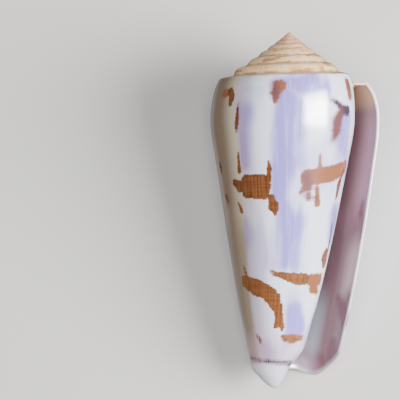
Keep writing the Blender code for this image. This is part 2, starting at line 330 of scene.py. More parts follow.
LAVENDER = [
    [(263, 11.4, 1.7), (276, 11.8, 1.9), (302, 12.7, 1.9)],
    [(267, 14.4, 3.0), (264, 20.3, 3.1), (263, 28.5, 3.1), (260, 32.1, 2.0), (261, 35.1, 1.5)],
    [(277, 15.2, 1.1), (277, 28.1, 0.6)],
    [(233, 17.3, 1.1), (232, 22.8, 1.4), (232, 28.3, 1.4)],
    [(268, 36.8, 1.7), (273, 40.1, 2.5), (272, 48.6, 3.0)],
    [(333, 38.4, 1.9), (337, 43.1, 1.7)],
    [(224, 40.1, 0.8), (225, 43.9, 0.8)],
    [(292, 58.7, 0.8), (308, 62.5, 2.1)],
    [(325, 18.2, 1.9), (325, 22.4, 1.9), (331, 25.8, 0.8)],
    [(237, 65.5, 1.3), (249, 67.6, 1.5)],
    [(38, 13.1, 1.1), (38, 25.8, 1.3)],
    [(62, 12.3, 1.7), (62, 19.9, 1.3)],
    [(96, 13.5, 1.9), (93, 19.4, 3.4), (88, 25.8, 3.0), (89, 27.9, 2.1)],
    [(119, 22.0, 3.0), (117, 25.8, 1.7)],
    [(132, 15.2, 1.1), (137, 23.7, 1.3)],
    [(143, 34.2, 0.8), (142, 42.7, 1.1)],
    [(104, 36.3, 1.3), (103, 38.9, 0.8)],
    [(76, 32.1, 1.1), (79, 39.5, 1.3)],
    [(32, 46.9, 0.8), (32, 51.5, 0.8)],
]
BLUSH = [
    [(11, 36.3, 0.6), (12, 38.2, 0.8)],
    [(3, 42.0, 0.25), (3, 43.5, 0.4)],
    [(25, 56.2, 0.4), (13, 58.9, 1.3), (3, 60.8, 1.7)],
    [(19, 65.7, 0.8), (17, 67.4, 1.4), (18, 68.7, 1.1)],
    [(33, 68.9, 0.4), (28, 70.3, 0.6)],
    [(287, 30.6, 0.8), (290, 32.7, 0.6)],
    [(283, 33.8, 0.08), (291, 34.9, 0.17), (300, 35.1, 0.13)],
    [(317, 17.1, 0.7), (313, 19.2, 1.4), (313, 20.9, 1.3), (311, 22.8, 0.6)],
    [(257, 11.8, 0.6), (258, 13.9, 0.6)],
    [(334, 11.0, 0.21), (337, 13.5, 0.4)],
]
# The tan side: partly the shell's colour and partly painted shade on the flank away from the lip
TAN_AND_SHADE = [
    [(201, 7.0, 5.5), (202, 22.0, 6.4), (203, 36.0, 5.2)],
    [(204, 36.0, 4.6), (206, 60.0, 2.4), (208, 69.0, 1.4)],
]
STROKES = {
    "chestnut": CHESTNUT,
    "orange": ORANGE,
    "plum": PLUM,
    "lavender": LAVENDER,
    "tan": TAN_AND_SHADE,
    "blush": BLUSH,
}
FAR_OUTSIDE = -50.0
LEAST_RADIUS = 1.0


# Sizes and colours that a user would change


def colour_property(name, description, default):
    return bpy.props.FloatVectorProperty(
        name=name,
        description=description,
        default=default,
        subtype="COLOR",
        size=3,
        min=0,
        max=1,
    )


def power_property(name, description, default):
    return bpy.props.FloatProperty(
        name=name, description=description, default=default, min=0, unit="POWER"
    )


class ShellFinish(bpy.types.PropertyGroup):
    """How the shell's surface is cut and coloured."""

    stations: bpy.props.IntProperty(
        name="Stations", description="Steps in one turn of the spiral", default=180, min=36, max=360
    )
    side_rows: bpy.props.IntProperty(
        name="Side rows", description="Rows down the side of the body", default=90, min=14, max=200
    )
    ridge_height: bpy.props.FloatProperty(
        name="Ridge height",
        description="Height of the spiral ridges on the ramps of the spire",
        default=0.11 * MM,
        min=0,
        unit="LENGTH",
    )
    shoulder_waves: bpy.props.FloatProperty(
        name="Shoulder waves",
        description="How far the shoulders rise and fall along the spiral",
        default=0.08 * MM,
        min=0,
        unit="LENGTH",
    )
    growth_waves: bpy.props.FloatProperty(
        name="Growth waves",
        description="How far the side swells and sinks from one growth stage to the next",
        default=0.03 * MM,
        min=0,
        unit="LENGTH",
    )
    white: colour_property("White", "The palest ground", (0.78, 0.79, 0.95))
    lavender: colour_property("Lavender", "The clouds on the ground", (0.285, 0.24, 0.67))
    # Sand and tan are partly the shell's colour and partly painted shade on the flank away from the
    # lip
    sand: colour_property("Sand", "Where the tan side begins", (0.52, 0.46, 0.36))
    tan: colour_property("Tan", "The side away from the lip", (0.22, 0.155, 0.105))
    dark_brown: colour_property("Dark brown", "Dark lines of the marks", (0.088, 0.024, 0.006))
    light_brown: colour_property("Light brown", "Pale lines of the marks", (0.23, 0.09, 0.034))
    orange: colour_property("Orange", "The pale marks", (0.26, 0.096, 0.046))
    plum: colour_property("Plum", "The dark smudge and the line at the neck", (0.06, 0.035, 0.062))
    cream: colour_property("Cream", "The ground of the spire", (0.95, 0.64, 0.35))
    ochre: colour_property("Ochre", "The marks of the spire", (0.45, 0.22, 0.075))
    salmon: colour_property("Salmon", "The apex", (0.70, 0.36, 0.20))
    mouth: colour_property("Mouth", "The inside near the lip", (0.61, 0.39, 0.48))
    # Partly the pale colour inside the lip, partly painted glow of light through the thin lip
    mouth_edge: colour_property("Mouth edge", "The pale band inside the lip", (0.84, 0.66, 0.68))
    mouth_low: colour_property("Low mouth", "The inside halfway to the tip", (0.31, 0.185, 0.215))
    # Painted shade of the inside near the body
    mouth_painted_shade: colour_property("Dark mouth", "The inside near the body", (0.32, 0.18, 0.21))
    mauve: colour_property("Mauve", "Beside the tan and high in the mouth", (0.36, 0.27, 0.30))
    blush: colour_property("Blush", "The soft dull red marks", (0.15, 0.055, 0.062))
    mouth_pale: colour_property("Pale mouth", "The inside near the tip", (0.52, 0.53, 0.60))


class ShellStage(bpy.types.PropertyGroup):
    """The floor, the lights and the camera."""

    floor_size: bpy.props.FloatProperty(
        name="Floor size", description="Width of the floor", default=3.0, min=0.3, unit="LENGTH"
    )
    floor_colour: colour_property("Floor", "Colour of the floor", (0.52, 0.51, 0.49))
    key_power: power_property("Key light", "Power of the large soft light", 11.0)
    window_power: power_property("Window light", "Power of the light seen in the gloss", 40.0)
    fill_power: power_property("Fill light", "Power of the weak soft light", 6.5)
    sky: bpy.props.FloatProperty(
        name="Sky", description="Strength of the even light from all round", default=0.12, min=0
    )
    lens: bpy.props.FloatProperty(
        name="Lens", description="Focal length of the camera", default=300.0, min=50, unit="CAMERA"
    )
    view_width: bpy.props.FloatProperty(
        name="View width",
        description="Width that the picture shows at the shell's axis",
        default=84.5 * MM,
        min=0.02,
        unit="LENGTH",
    )


# The shape


def smooth(value):
    """0 to 1 with level ends."""
    value = min(max(value, 0.0), 1.0)
    return value * value * (3 - 2 * value)


def mix(a, b, share):
    return a + (b - a) * share


def spline_slopes(points):
    """Second derivatives of the natural cubic curve through the points."""
    x = np.array([p[0] for p in points])
    y = np.array([p[1] for p in points])
    gap = np.diff(x)
    count = len(points)
    matrix = np.eye(count)
    right = np.zeros(count)
    for i in range(1, count - 1):
        matrix[i, i - 1 : i + 2] = gap[i - 1], 2 * (gap[i - 1] + gap[i]), gap[i]
        right[i] = 6 * ((y[i + 1] - y[i]) / gap[i] - (y[i] - y[i - 1]) / gap[i - 1])
    return [float(s) for s in np.linalg.solve(matrix, right)]


SIDE_BENDS = spline_slopes(SIDE)


def side_curve(depth):
    """Radius of the side at this depth, half a turn back from the lip."""
    i = sum(depth > p[0] for p in SIDE[1:-1])
    (x0, y0), (x1, y1) = SIDE[i], SIDE[i + 1]
    gap = x1 - x0
    a = (x1 - depth) / gap
    b = (depth - x0) / gap
    bend = (a**3 - a) * SIDE_BENDS[i] + (b**3 - b) * SIDE_BENDS[i + 1]
    return a * y0 + b * y1 + bend * gap * gap / 6


def shoulder_radius(half_turns):
    return SHOULDER_RADIUS * math.exp(
        -SHRINK * half_turns - SHRINK_MORE * half_turns * half_turns
    )


def suture_depth(half_turns):
    """Depth at which the next turn joins this one."""
    share = shoulder_radius(half_turns) / shoulder_radius(BODY_HALF_TURNS)
    sharpened = 1 - APEX_SHARPENING * (1 - share) ** APEX_POWER
    return SUTURE_DEPTH * share**SPIRE_POWER * sharpened


def shoulder_depth(half_turns):
    lower = suture_depth(half_turns)
    rise = LIP_TOP_RISE * (1 - smooth(half_turns / LIP_TOP_END))
    return lower - STEP_SHARE * (lower - suture_depth(half_turns + 2)) - rise


def growth(angle):
    """Size of the body at this angle against half a turn back from the lip."""
    return HALF_TURN_RATIO ** (angle / math.pi - 1)


def body_radius(angle, depth):
    """Radius of the body's side before the neck draws it in."""
    flare = 0.0
    if angle < FLARE_END:
        flare = 0.5 + 0.5 * math.cos(math.pi * angle / FLARE_END)
    lowest = max(0.0, depth - SPREAD_START) / (NECK_DEPTH - SPREAD_START)
    flare *= LIP_FLARE * max(0.0, depth - FLARE_START) + LIP_SPREAD * lowest * lowest
    wide = growth(angle) * side_curve(depth) + flare
    top = shoulder_depth(angle / math.pi)
    missing = growth(angle) * side_curve(top) - shoulder_radius(angle / math.pi)
    return wide - missing * math.exp(-(depth - top) / SHOULDER_SOFTNESS)


def neck_radius(angle, evened=0.0):
    """Radius of the neck, one wall thicker at the end of the canal than a turn further back."""
    around = NECK_RADIUS - NECK_SHIFT * math.cos(angle) + NECK_BACK * math.sin(angle)
    return around + FRONT_WALL * mix(1 - (angle - CANAL_END) / TURN, 0.5, evened)


def side_radius(angle, depth):
    inwards = smooth((depth - NECK_START) / (NECK_DEPTH - NECK_START))
    joined = smooth((angle - CANAL_END + CANAL_BLEND) / CANAL_BLEND)
    neck = neck_radius(angle) * side_curve(depth) / side_curve(NECK_DEPTH)
    return mix(body_radius(angle, depth), neck, inwards * joined)


def end_depth(angle):
    """Depth of the lowest row: the lip's lower edge, then the neck, then the hollow's floor."""
    if angle <= CANAL_END:
        corner = LIP_CORNER_RISE * math.exp(-((angle / LIP_CORNER_ANGLE) ** LIP_CORNER_POWER))
        sag = LIP_SAG * math.sin(math.pi * smooth(angle / LIP_SAG_END)) ** 2
        return NECK_DEPTH - corner + sag
    behind = angle - CANAL_END - TURN
    return NECK_DEPTH - CAVITY_FLOOR_RISE * smooth(behind / CAVITY_FLOOR_END)


SWELL_BASE = body_radius(TURN, suture_depth(BODY_HALF_TURNS)) / shoulder_radius(BODY_HALF_TURNS)


def suture_point(angle):
    """Radius and depth where the next turn joins this one."""
    half_turns = angle / math.pi
    depth = suture_depth(half_turns)
    if half_turns <= BODY_HALF_TURNS:
        return side_radius(angle, depth), depth
    swell = SWELL_BASE + SUTURE_SWELL * smooth((half_turns - BODY_HALF_TURNS) / SWELL_TURNS)
    return shoulder_radius(half_turns) * swell, depth


def upper_suture(angle):
    """Radius and depth where this turn rests on the turn before it, or the apex."""
    if angle + TURN > SPIRE_TURNS * TURN + MERGE:
        return 0.0, 0.0
    return suture_point(angle + TURN)


def uneven(angle):
    """A wave from -1 to 1 that doesn't repeat within a turn."""
    return sum(height * math.sin(pace * angle + start) for height, pace, start in UNEVEN_WAVES)


def step_point(angle, row, finish):
    """Radius and depth on the ramp (rows 0 to 1) and down to the lower suture (rows 1 to 2)."""
    half_turns = angle / math.pi
    high = Vector(upper_suture(angle))
    low = Vector(suture_point(angle))
    size = shoulder_radius(half_turns) / SHOULDER_RADIUS
    wave = finish.shoulder_waves * size * uneven(angle)
    corner = Vector((shoulder_radius(half_turns), shoulder_depth(half_turns) + wave))
    if row <= 1:
        sharp = high.lerp(corner, row)
    else:
        depth = mix(corner.y, low.y, row - 1)
        sharp = Vector((mix(corner.x, low.x, row - 1), depth))
        if half_turns <= BODY_HALF_TURNS:
            sharp.x = side_radius(angle, depth)
    rounding = smooth((half_turns - BODY_HALF_TURNS) / ROUNDING_TURNS)
    if rounding:
        pull = corner + (corner - high.lerp(low, 0.5)) * STEP_PULL
        first = high.lerp(pull, STEP_FULLNESS)
        second = low.lerp(pull, STEP_FULLNESS)
        t = row / 2
        bezier = high * (1 - t) ** 3 + first * 3 * t * (1 - t) ** 2
        bezier += second * 3 * t * t * (1 - t) + low * t**3
        sharp = sharp.lerp(bezier, rounding)
    if row < 1:
        ridge = math.sin(math.pi * RAMP_RIDGES * row) ** 2
        sharp.y -= finish.ridge_height * min(1.0, RIDGE_KEEPS * size) * ridge
    return sharp


def outline_point(angle, row, finish):
    """Radius and depth on the outside, from row 0 to row 4.

    Row 0 is the upper suture, row 1 the shoulder, row 2 the lower suture, row 3 one wall below it
    and row 4 the end.
    """
    if row <= 2:
        return step_point(angle, row, finish)
    top = suture_depth(angle / math.pi)
    if row <= 3:
        depth = top + WALL * (row - 2)
    else:
        depth = mix(top + WALL, end_depth(angle), row - 3)
    swell = 0.0
    if row > 3:
        fade = smooth((row - 3) / GROWTH_WAVE_FADE) * smooth((4 - row) / GROWTH_WAVE_FADE)
        swell = finish.growth_waves * uneven(GROWTH_WAVE_PACE * angle) * fade
    return Vector((side_radius(angle, depth) + swell, depth))


def place(angle, outline):
    """A radius and depth as a point: +Y to the apex, +Z to the opening, +X to the lip."""
    radius, depth = outline
    centre = -AXIS_LEAN * (depth / LENGTH) ** 2
    return Vector((centre + radius * math.cos(angle), -depth, -radius * math.sin(angle)))


def wall_at(angle, row):
    """Thickness of the wall, thin at the edge of the lip and along its lower edge."""
    share = max(0.0, row - 3)
    wall = mix(WALL, FRONT_WALL, share)
    from_edge = smooth(angle / EDGE_ANGLE)
    if angle < CANAL_END:
        above_edge = smooth((1 - share) / EDGE_DEPTH_SHARE) if row > 3 else 1.0
        thick_again = smooth((angle - CANAL_END + CANAL_BLEND) / CANAL_BLEND)
        from_edge = min(from_edge, max(above_edge, thick_again))
    return mix(EDGE_WALL, wall, from_edge)


class Sheet:
    """The wound sheet while it is extruded. Each point keeps its growth angle, row and side."""

    def __init__(self, finish):
        self.finish = finish
        self.bm = bmesh.new()
        verts = self.bm.verts.layers.float
        self.keys = [verts.new(name) for name in ("angle", "row", "inside")]

    def outer(self, angle, row):
        point = place(angle, outline_point(angle, row, self.finish))
        inside = 1.0 if angle > TURN + MERGE and row > 2 else 0.0
        return point, (angle, row, inside)

    def inner(self, angle, row):
        """The inside of the wall, which ends on the turn before it at both ends of the profile."""
        if row == 0:
            point = self.outer(angle + TURN, 3)[0]
        elif row == 4 and angle >= CANAL_END - MERGE:
            point = self.outer(angle + TURN, 4)[0]
        else:
            before = outline_point(angle, max(row - ROW_STEP, 0), self.finish)
            after = outline_point(angle, min(row + ROW_STEP, 4), self.finish)
            along = (after - before).normalized()
            inwards = Vector((-along.y, along.x))
            middle = outline_point(angle, row, self.finish)
            point = place(angle, middle + inwards * wall_at(angle, row))
        return point, (angle, row, 1.0)

    def loft(self, chains):
        """Extrudes the first chain of points through the others."""
        bm = self.bm
        row = [bm.verts.new(point) for point, _ in chains[0]]
        self.note(row, chains[0])
        edges = [bm.edges.new(pair) for pair in zip(row, row[1:])]
        for chain in chains[1:]:
            made = bmesh.ops.extrude_edge_only(bm, edges=edges)["geom"]
            fresh = {v for v in made if isinstance(v, bmesh.types.BMVert)}
            row = [
                next(e.other_vert(v) for e in v.link_edges if e.other_vert(v) in fresh)
                for v in row
            ]
            edges = [
                e
                for e in made
                if isinstance(e, bmesh.types.BMEdge) and set(e.verts) <= fresh
            ]
            for vert, (point, _) in zip(row, chain):
                vert.co = point
            self.note(row, chain)

    def note(self, verts, chain):
        for vert, (_, facts) in zip(verts, chain):
            for key, value in zip(self.keys, facts):
                vert[key] = value


def rows_of(*bands):
    """Row numbers of one band after another, each band given as start, end and count."""
    rows = []
    for start, end, count in bands:
        rows += [start + (end - start) * i / count for i in range(count)]
    return rows + [bands[-1][1]]


def wind(sheet):
    """Extrudes every part of the sheet, along the spiral and from one row to the next."""
    step = TURN / sheet.finish.stations
    canal = round(CANAL_END / step)
    hollow = round(HOLLOW_END / step)
    turn = sheet.finish.stations
    strip = rows_of((0, 1, RAMP_ROWS), (1, 2, STEP_ROWS))
    side = rows_of((3, 4, sheet.finish.side_rows))

    def band(rows, start, end, point):
        angles = [j * step for j in range(start, end + 1)]
        sheet.loft([[point(a, q) for a in angles] for q in rows])

    band(strip + side, 0, turn, sheet.outer)
    band(strip, turn, SPIRE_TURNS * turn, sheet.outer)
    band(side, turn, turn + hollow, sheet.outer)
    band(strip + side, 0, hollow, sheet.inner)
    round_the_edge(sheet, strip + side, [j * step for j in range(1, canal + 1)])
    draw_in_the_tip(sheet, [(canal + j) * step for j in range(turn + 1)])


def round_the_edge(sheet, rows, angles):
    """The rounded edge of the lip, down its side and round its lower end."""
    places = [(0.0, q) for q in rows] + [(a, 4) for a in angles]
    outside = [sheet.outer(a, q) for a, q in places]
    inside = [sheet.inner(a, q) for a, q in places]
    ends = (0, len(places) - 1)
    span = sheet.finish.side_rows * EDGE_TURN_SHARE
    chains = []
    for share in EDGE_SHARES:
        chain = []
        for i, ((a, facts), (b, _)) in enumerate(zip(outside, inside)):
            turned = smooth((i - len(rows) + 1) / span + 0.5)
            away = Vector((0, -turned, 1 - turned)).normalized()
            bulge = EDGE_BULGE * 2 * math.sqrt(share * (1 - share)) * (a - b).length
            point = a.lerp(b, share) + away * bulge
            if i in ends:
                point = b if share else a
            chain.append((point, (facts[0], facts[1], share)))
        chains.append(chain)
    sheet.loft(chains)


def draw_in_the_tip(sheet, angles):
    """The neck below the canal, drawn in to the tip."""
    rings = []
    for i in range(TIP_RINGS + 1):
        share = i / TIP_RINGS
        depth = mix(NECK_DEPTH, LENGTH, share)
        narrowed = (1 - share) ** TIP_BLUNTNESS
        evened = smooth(2 * share)
        ring = []
        for a in angles + [angles[0]]:
            point = place(a, (neck_radius(a, evened) * narrowed, depth))
            ring.append((point, (a, 4 + share * TIP_PATTERN_ROWS, 0.0)))
        rings.append(ring)
    sheet.loft(rings)


def lay_out_the_pattern(sheet):
    """Puts the pattern's own map, and the masks that depend on the side, on every corner."""
    bm = sheet.bm
    pattern = bm.loops.layers.uv.new("pattern")
    masks = bm.loops.layers.float
    inside, rim, spire = (masks.new(name) for name in ("mouth", "rim", "spire"))
    for face in bm.faces:
        for loop in face.loops:
            angle, row, side = (loop.vert[key] for key in sheet.keys)
            down = STRIP_WIDTH * min(row, 3) + SIDE_WIDTH * max(0.0, row - 3)
            loop[pattern].uv = (AROUND * angle, down)
            loop[inside] = smooth((side - MOUTH_START) / (MOUTH_END - MOUTH_START))
            near_lip = 1 - smooth(angle / RIM_ANGLE)
            near_end = 1 - smooth((4 - row) / RIM_ROWS) if angle < CANAL_END else 0.0
            loop[rim] = max(near_lip, near_end)
            upper = angle > TURN - MERGE and row <= 2
            loop[spire] = 1.0 if upper else 1 - smooth((row - SPIRE_EDGE_START) / SPIRE_EDGE_ROWS)
    for name in ("angle", "row", "inside"):
        bm.verts.layers.float.remove(bm.verts.layers.float[name])


def depth_inside(strokes, angle, depth, radius):
    """How far inside the nearest stroke each point lies, in millimetres, less than 0 outside."""
    best = np.full(len(angle), FAR_OUTSIDE)
    for stroke in strokes:
        for (a0, d0, w0), (a1, d1, w1) in zip(stroke, stroke[1:]):
            turned = np.radians((angle - a0 + 180) % 360 - 180) * radius
            run = np.radians(a1 - a0) * radius
            down = depth - d0
            drop = d1 - d0
            t = np.clip((turned * run + down * drop) / (run * run + drop * drop), 0, 1)
            away = np.hypot(turned - t * run, down - t * drop)
            best = np.maximum(best, mix(w0, w1, t) - away)
    return best


def mark(bm):
    """Writes how deep each point lies in each kind of stroke, and how far below the apex."""
    points = np.array([v.co for v in bm.verts]) / MM
    depth = -points[:, 1]
    centre = -AXIS_LEAN / MM * (depth / (LENGTH / MM)) ** 2
    beside = points[:, 0] - centre
    angle = np.degrees(np.arctan2(-points[:, 2], beside))
    radius = np.maximum(np.hypot(beside, points[:, 2]), LEAST_RADIUS)
    layers = {
        kind: depth_inside(strokes, angle, depth, radius) for kind, strokes in STROKES.items()
    }
    layers["depth"] = depth
    for name, values in layers.items():
        layer = bm.verts.layers.float.new(name)
        bm.verts.ensure_lookup_table()
        for i, value in enumerate(values):
            bm.verts[i][layer] = float(value)


def close_and_lay_down(bm):
    """Closes the sheet, turns it as it lies, and flattens the small spot that it rests on."""
    bmesh.ops.remove_doubles(bm, verts=bm.verts, dist=MERGE)
    mouth = bm.loops.layers.float["mouth"]
    ends = bmesh.ops.holes_fill(bm, edges=[e for e in bm.edges if e.is_boundary], sides=0)
    for face in ends["faces"]:
        for loop in face.loops:
            loop[mouth] = 1.0
    bmesh.ops.triangulate(bm, faces=[f for f in bm.faces if len(f.verts) > 4])
    bmesh.ops.recalc_face_normals(bm, faces=bm.faces)
    mark(bm)
    bmesh.ops.transform(bm, matrix=Matrix.Rotation(TILT, 4, "X"), verts=bm.verts)
    points = np.array([v.co for v in bm.verts])
    low = points.min(0)
    high = points.max(0)
    shift = Vector(
        (
            (SHELL_LOW.x + SHELL_HIGH.x - low[0] - high[0]) / 2,
            SHELL_HIGH.y - high[1],
            SHELL_LOW.z - low[2] - FLAT_DEPTH,
        )
    )
    bmesh.ops.translate(bm, vec=shift, verts=bm.verts)
    for vert in bm.verts:
        vert.co.z = max(vert.co.z, SHELL_LOW.z)


# The finish


class Nodes:
    """A material's nodes, with a short call for each kind that is used."""

    def __init__(self, name):
        self.material = bpy.data.materials.new(name)
        self.material.use_nodes = True
        self.tree = self.material.node_tree
        self.shader = self.tree.nodes["Principled BSDF"]

    def feed(self, socket, value):
        if isinstance(value, bpy.types.NodeSocket):
            self.tree.links.new(value, socket)
        elif hasattr(value, "__len__") and len(value) == 3 and len(socket.default_value) == 4:
            socket.default_value = (*value, 1)
        else:
            socket.default_value = value

    def attribute(self, name):
        node = self.tree.nodes.new("ShaderNodeAttribute")
        node.attribute_name = name
        return node.outputs["Fac"]

    def pattern(self):
        node = self.tree.nodes.new("ShaderNodeUVMap")
        node.uv_map = "pattern"
        return node.outputs["UV"]

    def stretched(self, vector, across, down):
        node = self.tree.nodes.new("ShaderNodeMapping")
        node.inputs["Scale"].default_value = (across, down, 1)
        self.feed(node.inputs["Vector"], vector)
        return node.outputs["Vector"]

    def noise(self, vector, scale=1.0, detail=2.0, roughness=0.5):
        node = self.tree.nodes.new("ShaderNodeTexNoise")
        node.inputs["Scale"].default_value = scale
        node.inputs["Detail"].default_value = detail
        node.inputs["Roughness"].default_value = roughness
        self.feed(node.inputs["Vector"], vector)
        return node.outputs["Fac"]

    def maths(self, operation, a, b=0.0, c=0.0):
        node = self.tree.nodes.new("ShaderNodeMath")
        node.operation = operation
        for socket, value in zip(node.inputs, (a, b, c)):
            self.feed(socket, value)
        return node.outputs[0]

    def wander(self, noise, reach, start=0.0):
        """The start value plus a noise that goes up and down around its middle."""
        return self.maths("MULTIPLY_ADD", self.maths("SUBTRACT", noise, 0.5), reach, start)

    def ranged(self, value, low, high, to_low=0.0, to_high=1.0):
        """Turns values from low to high into to_low to to_high, with soft ends."""
        node = self.tree.nodes.new("ShaderNodeMapRange")
        node.interpolation_type = "SMOOTHSTEP"
        for name, number in (
            ("From Min", low),
            ("From Max", high),
            ("To Min", to_low),
            ("To Max", to_high),
        ):
            node.inputs[name].default_value = number
        self.feed(node.inputs["Value"], value)
        return node.outputs["Result"]

    def share(self, value, none, full, most=1.0):
        """How much of a colour shows: none at one value, and the most of it at the other."""
        return self.ranged(value, none, full, 0.0, most)

    def blended(self, share, first, second):
        node = self.tree.nodes.new("ShaderNodeMix")
        node.data_type = "RGBA"
        self.feed(node.inputs[0], share)
        self.feed(node.inputs[6], first)
        self.feed(node.inputs[7], second)
        return node.outputs[2]

    def split(self, vector):
        node = self.tree.nodes.new("ShaderNodeSeparateXYZ")
        self.feed(node.inputs[0], vector)
        return node.outputs

    def bumped(self, height, strength, distance):
        node = self.tree.nodes.new("ShaderNodeBump")
        node.inputs["Strength"].default_value = strength
        node.inputs["Distance"].default_value = distance
        self.feed(node.inputs["Height"], height)
        return node.outputs["Normal"]


def shell_fields(n):
    """The noises, masks and places on the surface that its colours share."""
    pattern = n.pattern()
    f = SimpleNamespace(
        spiral_lines=n.noise(n.stretched(pattern, *SPIRAL_LINES), detail=3),
        spiral_threads=n.noise(n.stretched(pattern, *SPIRAL_THREADS), detail=1),
        growth_lines=n.noise(n.stretched(pattern, *GROWTH_LINES), detail=3),
        growth_streaks=n.noise(n.stretched(pattern, *GROWTH_STREAKS), detail=2),
        clouds=n.noise(n.stretched(pattern, *CLOUDS), detail=2),
        flames=n.noise(n.stretched(pattern, *FLAMES), detail=3, roughness=0.6),
        grain=n.noise(pattern, GRAIN, detail=3),
        depth=n.attribute("depth"),
    )
    f.across, f.down, _ = n.split(pattern)
    ragged = n.wander(f.spiral_lines, WANDER_WITH_SPIRAL)
    ragged = n.wander(f.grain, WANDER_WITH_GRAIN, ragged)
    ragged = n.wander(f.growth_lines, WANDER_WITH_GROWTH, ragged)
    cloudy = n.wander(f.growth_streaks, CLOUD_WANDER_WITH_STREAKS)
    cloudy = n.wander(f.clouds, CLOUD_WANDER_WITH_CLOUDS, cloudy)
    f.covered = {}
    for kind, edge in EDGES.items():
        unevenness = cloudy if kind == "lavender" else ragged
        f.covered[kind] = n.share(n.maths("ADD", n.attribute(kind), unevenness), *edge)
    return f


def ground_colour(n, f, finish):
    """White with lavender clouds; tan on the side away from the lip and pink above the neck, both
    partly painted shade.
    """
    colour = n.blended(f.covered["lavender"], finish.white, finish.lavender)
    colour = n.blended(n.share(f.clouds, *CLOUDS_SHOW, most=0.45), colour, finish.lavender)
    white_lines = n.share(f.growth_lines, *WHITE_LINES_SHOW, most=0.3)
    colour = n.blended(white_lines, colour, finish.white)
    # Painted shade, partly the shell's own tan: the flank away from the lip darkens towards its
    # edge and lower down, with mauve beside it
    inside_tan = n.attribute("tan")
    side = n.blended(n.share(inside_tan, *TAN_DEEPENS), finish.sand, finish.tan)
    side = n.blended(n.share(f.depth, *SIDE_SHADE_DARKENS, most=0.7), side, finish.tan)
    colour = n.blended(n.share(inside_tan, *TAN_TINT, most=0.6), colour, finish.mauve)
    tan = n.maths("MULTIPLY", f.covered["tan"], n.share(f.across, *TAN_FROM))
    colour = n.blended(tan, colour, side)
    # Pink above the neck: partly the shell's colour, partly painted shade
    colour = n.blended(n.share(f.depth, *NECK_TINT, most=0.45), colour, finish.mouth)
    colour = n.blended(n.share(f.depth, *NECK_PALES, most=0.75), colour, finish.white)
    return n.blended(n.share(f.depth, *NECK_PALES, most=0.35), colour, finish.sand)


def marked_colour(n, f, finish, ground):
    """The ground with the plum, orange, dull red and woven brown marks over it."""
    threads = n.share(f.spiral_threads, *WOVEN_THREADS_SHOW)
    lines = n.share(f.growth_lines, *WOVEN_LINES_SHOW)
    weave = n.maths("MULTIPLY", threads, THREADS_IN_WEAVE)
    weave = n.maths("MULTIPLY_ADD", lines, LINES_IN_WEAVE, weave)
    weave = n.maths("ADD", weave, n.share(f.depth, *BROWN_PALES, most=0.3))
    brown = n.blended(weave, finish.dark_brown, finish.light_brown)
    colour = n.blended(f.covered["plum"], ground, finish.plum)
    colour = n.blended(f.covered["orange"], colour, finish.orange)
    colour = n.blended(f.covered["blush"], colour, finish.blush)
    return n.blended(f.covered["chestnut"], colour, brown)


def spire_colour(n, f, finish):
    """Cream with white and ochre flames, ochre threads, ochre seams with painted shade in the
    crease, and a salmon apex.
    """
    white_flames = n.share(f.flames, *WHITE_FLAMES_SHOW, most=0.8)
    colour = n.blended(white_flames, finish.cream, finish.white)
    lines = n.share(f.growth_lines, *OCHRE_LINES_SHOW)
    threads = n.maths("MULTIPLY", lines, n.share(f.grain, *OCHRE_GRAIN_SHOWS))
    colour = n.blended(n.share(threads, 0, 1, most=0.25), colour, finish.ochre)
    ochre_flames = n.share(f.flames, *OCHRE_FLAMES_SHOW, most=0.85)
    colour = n.blended(ochre_flames, colour, finish.ochre)
    # The sutures: partly ochre stain, partly painted shade in the crease
    seams = n.maths("MAXIMUM", n.share(f.down, *UPPER_SEAM), n.share(f.down, *LOWER_SEAM))
    stain_and_shade = n.ranged(f.growth_streaks, *SEAM_STAIN_AND_SHADE_SHOWS, to_low=0.15, to_high=0.85)
    colour = n.blended(n.maths("MULTIPLY", seams, stain_and_shade), colour, finish.ochre)
    return n.blended(n.share(f.depth, *APEX_TINT, most=0.8), colour, finish.salmon)


def mouth_colour(n, f, finish):
    """Mauve with painted shade near the body, paler towards the lip and the tip, with dull red
    marks.
    """
    colour = n.blended(n.share(f.down, *MOUTH_LOW_DOWN), finish.mouth, finish.mouth_low)
    # Painted shade near the body, deep in the opening
    dark = n.share(f.across, *MOUTH_SHADE_ACROSS)
    dark = n.maths("MULTIPLY", dark, n.share(f.down, *MOUTH_SHADE_DOWN))
    colour = n.blended(dark, colour, finish.mouth_painted_shade)
    colour = n.blended(n.share(f.down, *MOUTH_TOP_DOWN, most=0.7), colour, finish.mauve)
    # Partly the tan colour high in the mouth, partly painted light against the shade there
    colour = n.blended(n.share(f.down, *MOUTH_CORNER_DOWN, most=0.6), colour, finish.cream)
    pale = n.share(f.down, *MOUTH_PALE_DOWN)
    pale = n.maths("MULTIPLY", pale, n.share(f.across, *MOUTH_PALE_ACROSS))
    colour = n.blended(pale, colour, finish.mouth_pale)
    streaks = n.share(f.growth_streaks, *MOUTH_STREAKS_SHOW, most=0.15)
    colour = n.blended(streaks, colour, finish.mouth_pale)
    # Pale band inside the lip: partly its colour, partly painted glow of light through the thin lip
    near_lip = n.share(f.down, *MOUTH_EDGE_DOWN, most=0.7)
    near_lip = n.maths("MULTIPLY", near_lip, n.share(f.across, *MOUTH_EDGE_ACROSS))
    near_lip = n.maths("MULTIPLY", near_lip, n.share(f.down, *MOUTH_EDGE_ENDS))
    colour = n.blended(near_lip, colour, finish.mouth_edge)
    colour = n.blended(n.share(f.down, *MOUTH_LAST_DOWN, most=0.75), colour, finish.mouth_low)
    blush = n.maths("MULTIPLY", f.covered["blush"], 0.5)
    colour = n.blended(blush, colour, finish.blush)
    return n.blended(n.share(n.attribute("rim"), 0, 1, most=0.3), colour, finish.white)


